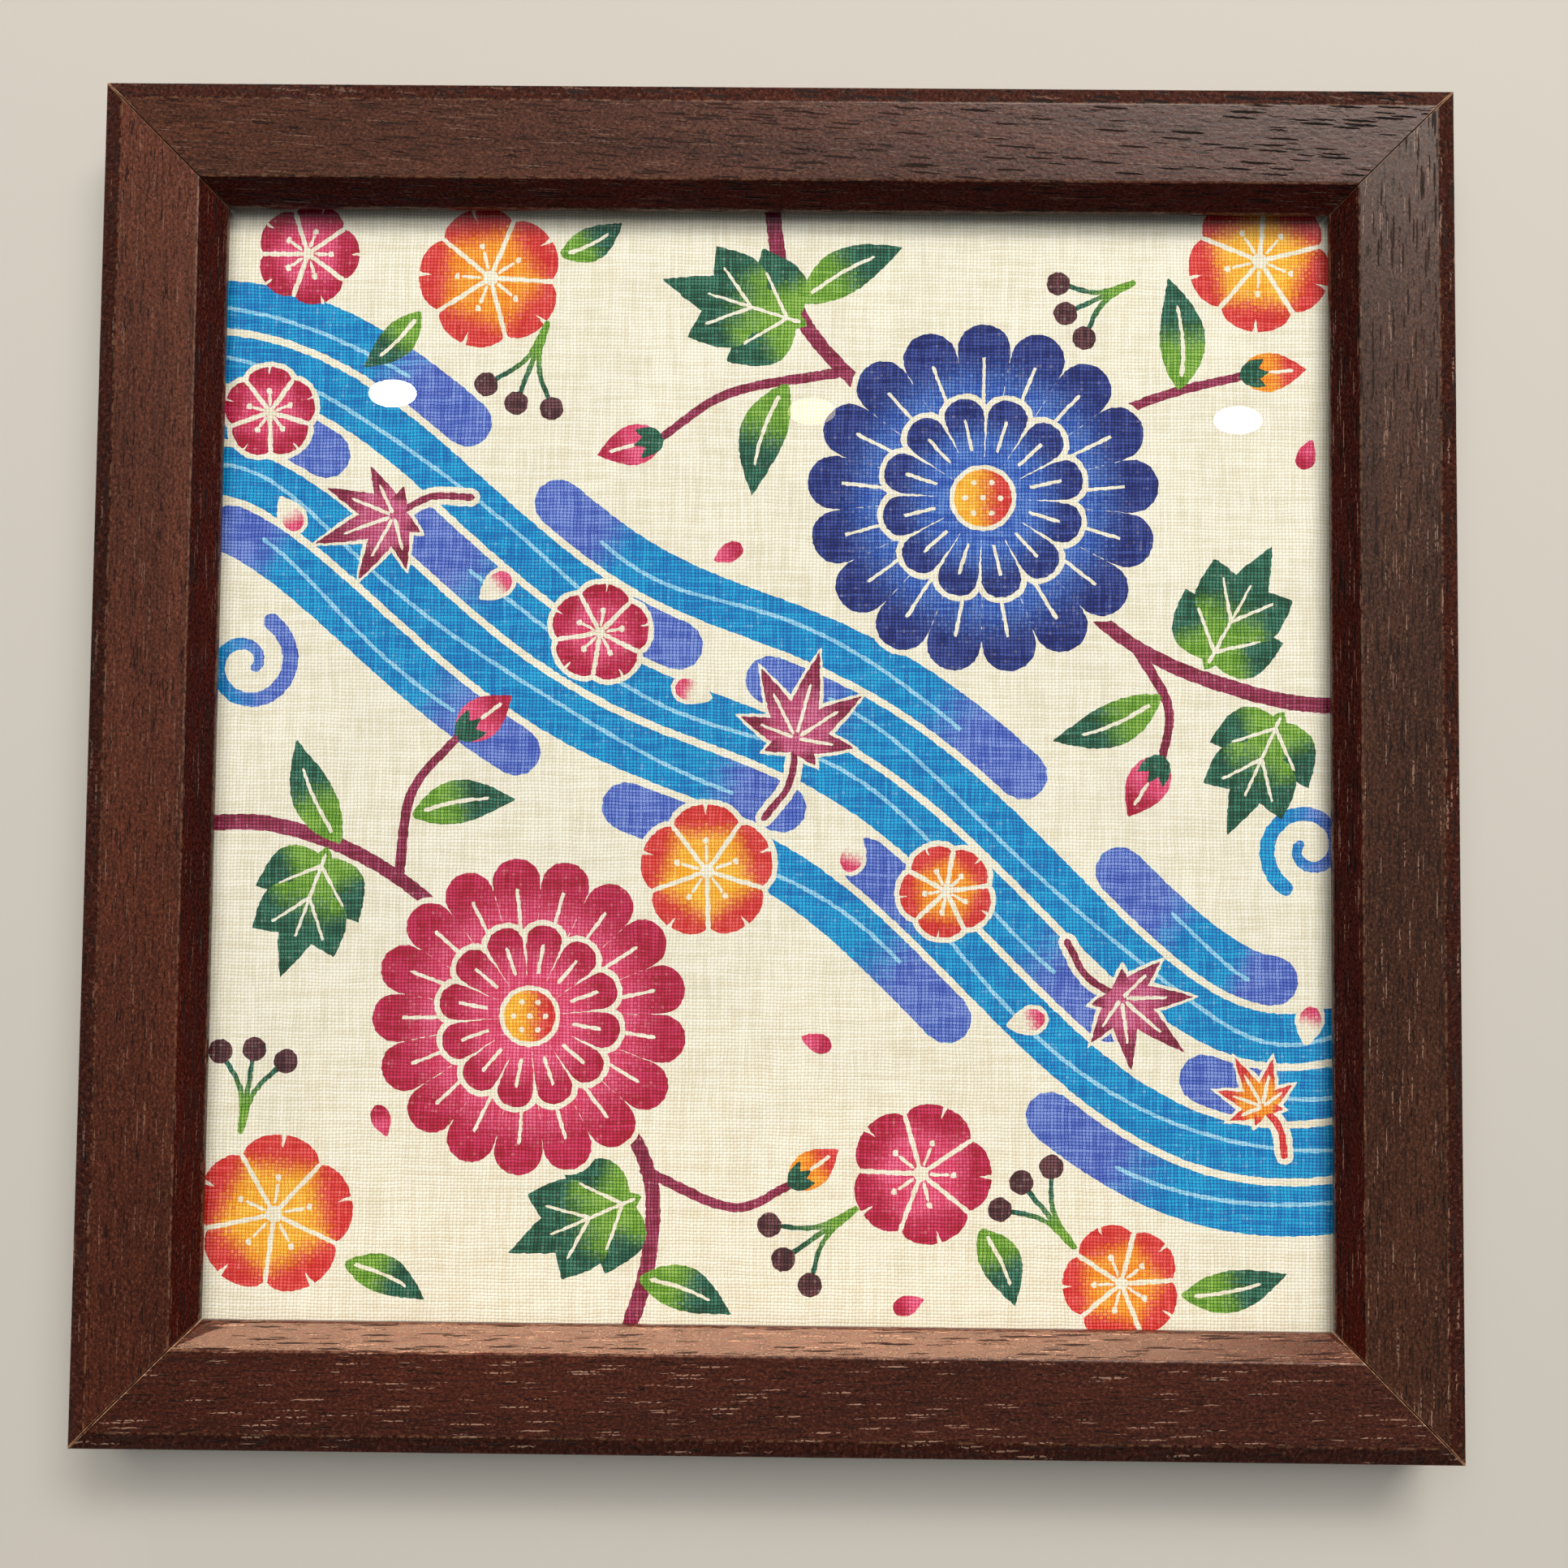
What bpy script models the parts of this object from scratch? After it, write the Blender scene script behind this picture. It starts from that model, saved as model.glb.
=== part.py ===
"""A square piece of stencil-dyed cloth, glazed, in a mitred wooden picture frame that lies on its back.

Metres, +Z up. The picture faces +Z and its top edge is towards +Y. The origin is the middle of the
frame's back, on the surface that the frame lies on. Every sheet and rail keeps a small gap to its
neighbour, so that each is a solid of its own.
"""

import math

import bmesh
import bpy
from mathutils import Matrix, Vector

# The opening through which the cloth shows, and the moulding round it
SIGHT_SIDE = 0.190
RAIL_WIDTH = 0.0205
RAIL_THICKNESS = 0.018
FRAME_SIDE = SIGHT_SIDE + 2 * RAIL_WIDTH

# The moulding's section: a shallow chamfer outside, a flat face, and a steep bevel down to the sight edge
CHAMFER_WIDTH = 0.0033
CHAMFER_DROP = 0.0017
BEVEL_WIDTH = 0.0036
BEVEL_DROP = 0.0042
SIGHT_EDGE_THICKNESS = 0.0013
REBATE_WIDTH = 0.0055

# The sheets in the rebate, from the front to the back
SHEET_SIDE = 0.200
GLAZING_THICKNESS = 0.002
TEXTILE_THICKNESS = 0.001
BACKING_THICKNESS = 0.003
GAP = 0.0003

# The saw cut between two rails
MITRE_GAP = 0.0003

WALNUT_STAIN = (0.072, 0.028, 0.020, 1.0)
CLEAR_SHEET = (0.92, 0.95, 0.95, 1.0)
DYED_COTTON = (0.84, 0.79, 0.66, 1.0)
HARDBOARD = (0.30, 0.19, 0.11, 1.0)


def clear_scene():
    for old in list(bpy.data.objects):
        bpy.data.objects.remove(old)


def new_collection(name):
    collection = bpy.data.collections.new(name)
    bpy.context.scene.collection.children.link(collection)
    return collection


def new_material(name, colour, roughness, transmission=0.0):
    material = bpy.data.materials.new(name)
    material.use_nodes = True
    shader = material.node_tree.nodes["Principled BSDF"]
    shader.inputs["Base Color"].default_value = colour
    shader.inputs["Roughness"].default_value = roughness
    shader.inputs["Metallic"].default_value = 0.0
    shader.inputs["Transmission Weight"].default_value = transmission
    return material


def rail_section():
    """The moulding's outline as (distance in from the outer side, height above the back)."""
    sight_top = RAIL_THICKNESS - BEVEL_DROP
    rebate_top = sight_top - SIGHT_EDGE_THICKNESS
    rebate_wall = RAIL_WIDTH - REBATE_WIDTH
    return [
        (0.0, 0.0),
        (rebate_wall, 0.0),
        (rebate_wall, rebate_top),
        (RAIL_WIDTH, rebate_top),
        (RAIL_WIDTH, sight_top),
        (RAIL_WIDTH - BEVEL_WIDTH, RAIL_THICKNESS),
        (CHAMFER_WIDTH, RAIL_THICKNESS),
        (0.0, RAIL_THICKNESS - CHAMFER_DROP),
    ]


def moulding_length():
    """A straight length of moulding along X, with its outer side towards -Y, as a mesh."""
    outline = rail_section()
    curve = bpy.data.curves.new("moulding", "CURVE")
    curve.dimensions = "2D"
    curve.fill_mode = "BOTH"
    curve.extrude = FRAME_SIDE / 2
    spline = curve.splines.new("POLY")
    spline.points.add(len(outline) - 1)
    spline.use_cyclic_u = True
    for point, (across, height) in zip(spline.points, outline):
        point.co = (across, height, 0.0, 1.0)
    guide = bpy.data.objects.new("moulding", curve)
    bpy.context.scene.collection.objects.link(guide)
    bpy.context.view_layer.update()
    evaluated = guide.evaluated_get(bpy.context.evaluated_depsgraph_get())
    mesh = bpy.data.meshes.new_from_object(evaluated)
    bpy.data.objects.remove(guide)
    # The extrusion ran along Z: X goes to Y, Y to Z and Z to X
    stand_up = Matrix.Rotation(math.radians(90), 4, "X")
    turn_along = Matrix.Rotation(math.radians(90), 4, "Z")
    to_outer_side = Matrix.Translation((0.0, -FRAME_SIDE / 2, 0.0))
    mesh.transform(to_outer_side @ turn_along @ stand_up)
    return mesh


def saw_mitre(bm, end):
    """Cuts one end of the bottom rail at 45 degrees: end is +1 for the end towards +X, and -1 for the other."""
    waste_side = Vector((end, 1.0, 0.0)).normalized()
    sawn = bmesh.ops.bisect_plane(
        bm,
        geom=bm.verts[:] + bm.edges[:] + bm.faces[:],
        plane_co=-waste_side * MITRE_GAP / 2,
        plane_no=waste_side,
        clear_outer=True,
    )
    rim = [part for part in sawn["geom_cut"] if isinstance(part, bmesh.types.BMEdge)]
    bmesh.ops.edgeloop_fill(bm, edges=rim)


def mitred_rail():
    """The bottom rail's mesh, its two ends sawn on the lines from the frame's middle to its corners."""
    mesh = moulding_length()
    bm = bmesh.new()
    bm.from_mesh(mesh)
    bmesh.ops.remove_doubles(bm, verts=bm.verts, dist=1e-6)
    saw_mitre(bm, 1.0)
    saw_mitre(bm, -1.0)
    bmesh.ops.recalc_face_normals(bm, faces=bm.faces)
    bm.to_mesh(mesh)
    bm.free()
    mesh.name = "rail"
    return mesh


def add_rails(collection, material):
    """Four equal rails, each turned a quarter from the last about the middle of the frame."""
    mesh = mitred_rail()
    mesh.materials.append(material)
    for turns, side in enumerate(("bottom", "right", "top", "left")):
        rail = bpy.data.objects.new("rail_" + side, mesh)
        rail.rotation_euler = (0.0, 0.0, math.radians(90 * turns))
        collection.objects.link(rail)


def add_sheet(name, collection, material, top, thickness):
    """A square sheet in the rebate with its front face at the height top. Returns its back's height."""
    bpy.ops.mesh.primitive_cube_add(size=1.0)
    sheet = bpy.context.object
    sheet.name = name
    sheet.data.name = name
    sheet.data.transform(Matrix.Diagonal((SHEET_SIDE, SHEET_SIDE, thickness, 1.0)))
    sheet.location = (0.0, 0.0, top - thickness / 2)
    sheet.data.materials.append(material)
    for other in sheet.users_collection:
        other.objects.unlink(sheet)
    collection.objects.link(sheet)
    return top - thickness


def build():
    clear_scene()
    framed_textile = new_collection("framed_stencil_dyed_textile")
    add_rails(framed_textile, new_material("stained_wood", WALNUT_STAIN, 0.45))
    rebate_top = RAIL_THICKNESS - BEVEL_DROP - SIGHT_EDGE_THICKNESS
    clear_sheet = new_material("clear_glazing", CLEAR_SHEET, 0.03, transmission=1.0)
    dyed_cloth = new_material("dyed_cotton", DYED_COTTON, 0.9)
    board = new_material("hardboard", HARDBOARD, 0.8)
    glazing_back = add_sheet("glazing", framed_textile, clear_sheet, rebate_top - GAP, GLAZING_THICKNESS)
    textile_back = add_sheet("textile", framed_textile, dyed_cloth, glazing_back - GAP, TEXTILE_THICKNESS)
    add_sheet("backing", framed_textile, board, textile_back - GAP, BACKING_THICKNESS)


build()
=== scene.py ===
"""Looks of a framed piece of stencil-dyed cloth: stained rails, a clear sheet, the dyed cloth and a board.

Metres, +Z out of the picture and +Y towards its top. Each piece takes the place of one solid of the frame.
The cloth's design is drawn in millimetres from the middle of the cloth, each point as a complex number.
"""

import cmath
import math
import random
from collections import namedtuple

import bmesh
import bpy
from mathutils import Matrix, Vector
from mathutils.geometry import delaunay_2d_cdt


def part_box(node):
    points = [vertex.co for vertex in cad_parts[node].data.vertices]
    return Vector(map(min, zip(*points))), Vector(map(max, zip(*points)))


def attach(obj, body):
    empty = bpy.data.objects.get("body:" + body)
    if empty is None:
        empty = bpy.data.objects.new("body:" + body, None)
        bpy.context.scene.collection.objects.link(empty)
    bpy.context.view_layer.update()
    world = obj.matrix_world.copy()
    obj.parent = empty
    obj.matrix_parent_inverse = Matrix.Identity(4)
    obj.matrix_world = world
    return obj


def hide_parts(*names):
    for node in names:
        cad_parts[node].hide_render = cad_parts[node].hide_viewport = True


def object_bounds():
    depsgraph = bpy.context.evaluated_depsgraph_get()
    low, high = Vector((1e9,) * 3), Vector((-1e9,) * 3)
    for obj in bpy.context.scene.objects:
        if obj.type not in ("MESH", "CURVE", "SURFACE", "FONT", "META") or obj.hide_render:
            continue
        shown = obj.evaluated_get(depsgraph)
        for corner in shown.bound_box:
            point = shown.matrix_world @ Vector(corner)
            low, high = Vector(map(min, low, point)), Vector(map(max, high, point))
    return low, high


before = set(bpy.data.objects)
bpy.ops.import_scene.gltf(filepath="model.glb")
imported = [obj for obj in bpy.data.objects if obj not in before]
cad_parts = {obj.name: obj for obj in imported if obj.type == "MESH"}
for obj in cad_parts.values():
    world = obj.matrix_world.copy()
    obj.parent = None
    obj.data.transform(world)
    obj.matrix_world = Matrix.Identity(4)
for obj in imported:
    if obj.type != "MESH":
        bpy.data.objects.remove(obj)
CAD_LOW, CAD_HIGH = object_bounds()
MM = 0.001

# The moulding's section, as distances from the rail's outer side and heights above its back
OUTER = CAD_HIGH.x
THICKNESS = CAD_HIGH.z
RAIL_WIDTH = 20.5 * MM
REBATE_WIDTH = 5.5 * MM
REBATE_TOP = 12.5 * MM
SIGHT_TOP = 13.8 * MM
BEVEL_WIDTH = 3.6 * MM
CHAMFER_WIDTH = 3.3 * MM
CHAMFER_FOOT = 16.3 * MM
ARRIS_RADIUS = 0.30 * MM
MITRE_GAP = 0.20 * MM

# The weave's spacing each way, and the cloth's thickness
WARP_PITCH = 0.60 * MM
WEFT_PITCH = 0.56 * MM
CLOTH_THICKNESS = 0.6 * MM


def linear(code):
    """An sRGB hex colour as linear red, green, blue and alpha."""
    channels = [int(code[i:i + 2], 16) / 255 for i in (1, 3, 5)]
    return tuple(c / 12.92 if c < 0.04045 else ((c + 0.055) / 1.055) ** 2.4 for c in channels) + (1.0,)


def write_attribute(mesh, name, kind, domain, values):
    """Stores one number, vector or colour for each point or corner of a mesh, from a flat list."""
    field = {"FLOAT": "value", "FLOAT_VECTOR": "vector", "FLOAT_COLOR": "color"}[kind]
    mesh.attributes.new(name, kind, domain)
    mesh.attributes[name].data.foreach_set(field, values)


def deselect_all():
    if bpy.context.object and bpy.context.object.mode != "OBJECT":
        bpy.ops.object.mode_set(mode="OBJECT")
    bpy.ops.object.select_all(action="DESELECT")


# Camera and light


def place_camera():
    """Nearly square on to the picture, from a little below its middle, as the photo was taken."""
    camera = bpy.data.objects.new("camera", bpy.data.cameras.new("camera"))
    bpy.context.scene.collection.objects.link(camera)
    camera.data.sensor_width = 36.0
    camera.data.lens = 36.07
    camera.data.clip_start = 0.01
    camera.location = (3.8 * MM, -15.7 * MM, 280.2 * MM)
    camera.rotation_euler = (math.radians(2.51), math.radians(0.344), math.radians(0.562))
    bpy.context.scene.camera = camera


# A light without a target faces straight down, and the clear sheet mirrors only those marked so
Light = namedtuple("Light", "name place target width height power colour mirrored")

LIGHTS = (
    Light("key", (0.46, 1.00, 1.15), (0, 0, 0), 0.90, 0.40, 13.5, "#FFF9F0", True),
    Light("ceiling", (0.0, 0.70, 1.50), (0, 0, 0), 1.60, 1.20, 20.0, "#FFFBF6", False),
    Light("lamp left", (-0.377, 0.412, 1.2), None, 0.045, 0.026, 0.19, "#FFEFD2", True),
    Light("lamp middle", (0.017, 0.398, 1.2), None, 0.045, 0.026, 0.012, "#FFE9B0", True),
    Light("lamp right", (0.416, 0.393, 1.2), None, 0.045, 0.026, 0.19, "#FFEFD2", True),
)

# The beams come low from beyond the picture's top, where the bottom rail's inner slope mirrors them. Each
# is a thin fan, and the places that they aim at gather towards the middle of that slope
BEAM_PLACES = (-0.56, -0.33, -0.11, 0.11, 0.34)
BEAM_DISTANCE = 1.29
BEAM_HEIGHT = 0.2155
BEAM_TARGET_Y = -0.097
BEAM_TARGET_Z = 0.0145
BEAM_GATHERING = 0.16
BEAM_ANGLE = math.radians(14)
BEAM_FLATNESS = 0.033
BEAM_POWER = 44.0

# The way in which the room is palest: straight above the picture and a little towards its top
PALEST = (0.06, 0.22, 0.975)


def aim(light, target):
    light.rotation_euler = (Vector(target) - light.location).to_track_quat("-Z", "Y").to_euler()


def light_inner_slope():
    """Warm beams, wide and thin, that pass over the top rail and reach the bottom rail's inner slope."""
    for x in BEAM_PLACES:
        beam = bpy.data.lights.new("low beam", "SPOT")
        beam.energy = BEAM_POWER
        beam.color = linear("#FFCFA8")[:3]
        beam.spot_size = BEAM_ANGLE
        beam.spot_blend = 0.6
        beam.shadow_soft_size = 0.01
        light = bpy.data.objects.new("low beam", beam)
        light.location = (x, BEAM_DISTANCE, BEAM_HEIGHT)
        light.scale = (1.0, BEAM_FLATNESS, 1.0)
        aim(light, (BEAM_GATHERING * x, BEAM_TARGET_Y, BEAM_TARGET_Z))
        bpy.context.scene.collection.objects.link(light)


def light_picture():
    """A key beyond the picture's top right corner, a wide ceiling and three small lamps."""
    for row in LIGHTS:
        lamp = bpy.data.lights.new(row.name, "AREA")
        lamp.shape = "ELLIPSE" if row.name.startswith("lamp") else "RECTANGLE"
        lamp.size, lamp.size_y = row.width, row.height
        lamp.energy = row.power
        lamp.color = linear(row.colour)[:3]
        light = bpy.data.objects.new(row.name, lamp)
        light.location = row.place
        if row.target:
            aim(light, row.target)
        light.visible_glossy = light.visible_transmission = row.mirrored
        bpy.context.scene.collection.objects.link(light)


def light_room():
    """The room's own faint light: pale overhead, and dark low down all round."""
    world = bpy.data.worlds.new("studio")
    world.use_nodes = True
    tree = world.node_tree
    way = add(tree, "TexCoord")
    overhead = add(tree, "VectorMath", way, PALEST, out="Value", operation="DOT_PRODUCT")
    brightness = add(tree, "MapRange", overhead, 0.45, 1.0, 0.08, 0.36, interpolation_type="SMOOTHSTEP")
    tree.nodes["Background"].inputs["Color"].default_value = linear("#EEF0F2")
    tree.links.new(brightness, tree.nodes["Background"].inputs["Strength"])
    bpy.context.scene.world = world


# Materials


def add(tree, kind, *values, out=0, named=None, **settings):
    """Adds a node, sets it up, feeds its sockets in order or by name, and returns one of its outputs."""
    made = tree.nodes.new("ShaderNode" + kind)
    for name, value in settings.items():
        setattr(made, name, value)
    for key, value in list(enumerate(values)) + list((named or {}).items()):
        if isinstance(value, bpy.types.NodeSocket):
            tree.links.new(value, made.inputs[key])
        elif value is not None:
            made.inputs[key].default_value = value
    return made.outputs[out]


def new_material(name, **sockets):
    """A material with its Principled shader's own sockets set. Returns it, its tree and the shader."""
    material = bpy.data.materials.new(name)
    material.use_nodes = True
    shader = material.node_tree.nodes["Principled BSDF"]
    for socket, value in sockets.items():
        shader.inputs[socket.replace("_", " ")].default_value = value
    return material, material.node_tree, shader


def long_marks(tree, place, scale, rarity, size, edge):
    """Lens-shaped marks, one in each stretched cell whose chance beats the rarity, sized in cells."""
    cells = add(tree, "Mapping", place, named={"Scale": scale})
    gap = add(
        tree, "TexVoronoi", out="Distance", voronoi_dimensions="2D", named={"Vector": cells, "Scale": 1.0}
    )
    chance = add(tree, "SeparateXYZ", gap.node.outputs["Color"], out="Z")
    reach = add(tree, "MapRange", chance, rarity, 1.0, 0.0, size)
    inside = add(tree, "Math", reach, gap, operation="SUBTRACT")
    return add(tree, "MapRange", inside, 0.0, edge, 0.0, 1.0, interpolation_type="SMOOTHSTEP")


def stretched_noise(tree, place, scale, detail, roughness=0.5, turn=0.0, out=0):
    """Soft noise on a sheet, stretched by a scale along the grain and one across it, and turned."""
    stretched = add(tree, "Mapping", place, named={"Scale": scale, "Rotation": (0.0, 0.0, turn)})
    return add(
        tree, "TexNoise", out=out, noise_dimensions="2D",
        named={"Vector": stretched, "Scale": 1.0, "Detail": detail, "Roughness": roughness},
    )


def stained_wood():
    """Open-pored tropical hardwood, planed, stained walnut brown under a thin satin lacquer.

    Seen close: a grainy brown ground with tiny painted glints, dark lens-shaped pores that slope over some
    rails, their darkness in part painted shade, short dark ticks, pale flecks in the pores of others that
    are painted highlights, and pale hairlines along the mitres.
    """
    material, tree, shader = new_material("walnut-stained hardwood", Specular_IOR_Level=0.35, IOR=1.5)
    timber = add(tree, "Attribute", out="Vector", attribute_name="timber")
    grain = add(tree, "Attribute", out="Vector", attribute_name="grain")
    stain = add(tree, "Attribute", out="Color", attribute_name="stain")
    pores_and_shade = add(tree, "Attribute", out="Fac", attribute_name="pores_and_shade")
    wear = add(tree, "Attribute", out="Fac", attribute_name="wear")
    mitre_wear = add(tree, "Attribute", out="Fac", attribute_name="mitre_wear")
    dust = add(tree, "Attribute", out="Fac", attribute_name="dust")

    # Granules from 0.7 mm down, turned off the grain, fibres 6 mm by 0.4 mm, bands 80 mm by 6 mm, and soft
    # lumps in the lacquer 1.4 mm by 0.7 mm
    granules = stretched_noise(tree, grain, (1500.0, 2100.0, 1.0), 3.0, 0.9, turn=0.6)
    fibres = stretched_noise(tree, grain, (170.0, 2400.0, 1.0), 3.0, 0.7)
    bands = stretched_noise(tree, grain, (12.0, 170.0, 1.0), 3.0)
    lumps = stretched_noise(tree, grain, (700.0, 1500.0, 1.0), 1.0)

    # The grain sways by 0.15 mm. Pores are up to 6.5 mm by 0.45 mm, and ticks 3 mm by 0.3 mm
    sway = stretched_noise(tree, grain, (900.0, 900.0, 1.0), 2.0, out="Color")
    sway = add(tree, "VectorMath", sway, (0.5, 0.5, 0.5), operation="SUBTRACT")
    swayed = add(tree, "VectorMath", sway, (0.0, 0.0003, 0.0), grain, operation="MULTIPLY_ADD")
    pores = long_marks(tree, swayed, (135.0, 1900.0, 1.0), 0.56, 0.44, 0.04)
    # How strongly each rail's pores show, set per rail: stain in the pores, and in part painted shade where
    # light from above leaves them in shadow
    pores = add(tree, "Math", pores, pores_and_shade, operation="MULTIPLY")
    ticks = long_marks(tree, swayed, (260.0, 2600.0, 1.0), 0.68, 0.40, 0.08)
    ticks = add(tree, "Math", ticks, 0.80, operation="MULTIPLY")

    # Painted highlights where the pores' far walls catch the light, as pale flecks up to 7 mm by 0.25 mm,
    # broken into beads
    painted_pore_highlights = long_marks(tree, swayed, (90.0, 2400.0, 1.0), 0.58, 0.32, 0.08)
    beads = stretched_noise(tree, grain, (1500.0, 1500.0, 1.0), 1.0)
    beads = add(tree, "MapRange", beads, 0.42, 0.50, 0.0, 1.0)
    painted_pore_highlights = add(tree, "Math", painted_pore_highlights, beads, operation="MULTIPLY")
    painted_pore_highlights = add(tree, "Math", painted_pore_highlights, dust, operation="MULTIPLY")
    # Painted glints: the granules' brightest specks mixed to pale tan, a painted highlight for the
    # lacquer's sparkle
    painted_glints = add(tree, "MapRange", granules, 0.60, 0.72, 0.0, 0.35)

    band_tone = add(tree, "MapRange", bands, 0.30, 0.70, 0.80, 1.20)
    fibre_tone = add(tree, "MapRange", fibres, 0.32, 0.68, 0.72, 1.28)
    granule_tone = add(tree, "MapRange", granules, 0.30, 0.70, 0.25, 1.75)
    tone = add(tree, "Math", fibre_tone, granule_tone, operation="MULTIPLY")
    tone = add(tree, "Math", tone, band_tone, operation="MULTIPLY")
    ground = add(tree, "VectorMath", stain, tone, operation="MULTIPLY")
    # Over the ground: painted glints in pale tan, dark ticks, near-black pores that are in part painted
    # shade, and pale flecks that are painted highlights
    for marks, colour in ((painted_glints, "#8E6B58"), (ticks, "#120705"), (pores, "#080302"), (painted_pore_highlights, "#B08D78")):
        ground = add(tree, "Mix", data_type="RGBA", out=2, named={0: marks, 6: ground, 7: linear(colour)})

    # Rubbed arrises, pale in part from wear and in part as a painted highlight where the eased edges catch
    # the light, and each mitre's raw edge within 0.3 mm of the joint, most of all near the outside
    timber_xyz = add(tree, "SeparateXYZ", timber).node
    along = add(tree, "Math", timber_xyz.outputs["X"], operation="ABSOLUTE")
    reach = add(tree, "Math", OUTER, timber_xyz.outputs["Y"], operation="SUBTRACT")
    to_joint = add(tree, "Math", reach, along, operation="SUBTRACT")
    joint = add(tree, "MapRange", to_joint, 0.18 * MM, 0.38 * MM, 1.0, 0.0)
    across = timber_xyz.outputs["Y"]
    outside = add(tree, "MapRange", across, CHAMFER_WIDTH, 2 * CHAMFER_WIDTH, 0.8, mitre_wear)
    joint = add(tree, "Math", joint, outside, operation="MULTIPLY")
    rub = stretched_noise(tree, grain, (600.0, 600.0, 1.0), 4.0, 0.7)
    rubbed_and_highlit = add(tree, "MapRange", rub, 0.46, 0.60, 0.0, 0.18)
    rubbed_and_highlit = add(tree, "Math", rubbed_and_highlit, wear, operation="MULTIPLY")
    raw = add(tree, "MapRange", rub, 0.38, 0.56, 0.30, 1.0)
    raw = add(tree, "Math", raw, joint, operation="MULTIPLY")
    worn_and_highlit = add(tree, "Math", rubbed_and_highlit, raw, operation="MAXIMUM")
    colour = add(tree, "Mix", data_type="RGBA", out=2, named={0: worn_and_highlit, 6: ground, 7: linear("#C09570")})
    tree.links.new(colour, shader.inputs["Base Color"])

    gloss = add(tree, "MapRange", granules, 0.30, 0.70, 0.24, 0.36)
    gloss = add(tree, "Math", pores, 0.60, gloss, operation="MULTIPLY_ADD")
    tree.links.new(gloss, shader.inputs["Roughness"])
    relief = add(tree, "Math", lumps, 1.8, granules, operation="MULTIPLY_ADD")
    relief = add(tree, "Math", ticks, -3.0, relief, operation="MULTIPLY_ADD")
    relief = add(tree, "Math", pores, -5.0, relief, operation="MULTIPLY_ADD")
    bump = add(
        tree, "Bump", out="Normal", named={"Height": relief, "Strength": 1.0, "Distance": 0.015 * MM}
    )
    tree.links.new(bump, shader.inputs["Normal"])
    return material


def clear_acrylic():
    """Cast acrylic sheet: clear, hard and glossy, so that it mirrors the lamps."""
    material, _, _ = new_material(
        "cast acrylic sheet", Base_Color=linear("#FBFDFD"), Roughness=0.0, IOR=1.49, Transmission_Weight=1.0
    )
    return material


def hardboard():
    """Pressed wood-fibre board: matt mid brown with short fibres lying every way and darker specks."""
    material, tree, shader = new_material(
        "pressed wood-fibre board", Roughness=0.82, Specular_IOR_Level=0.25
    )
    place = add(tree, "TexCoord", out="Object")
    # Fibres 0.4 mm across, and cloudy patches 15 mm across
    fibres = add(
        tree, "TexNoise", place,
        named={"Scale": 2400.0, "Detail": 4.0, "Roughness": 0.7, "Distortion": 1.5},
    )
    patches = add(tree, "TexNoise", place, named={"Scale": 70.0, "Detail": 3.0})
    blend = add(tree, "Math", fibres, patches, operation="MULTIPLY")
    blend = add(tree, "MapRange", blend, 0.12, 0.42, 0.0, 1.0)
    colour = add(
        tree, "Mix", data_type="RGBA", out=2,
        named={0: blend, 6: linear("#5E422B"), 7: linear("#96724C")},
    )
    tree.links.new(colour, shader.inputs["Base Color"])
    bump = add(tree, "Bump", out="Normal", named={"Height": fibres, "Strength": 0.4, "Distance": 0.1 * MM})
    tree.links.new(bump, shader.inputs["Normal"])
    return material


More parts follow.
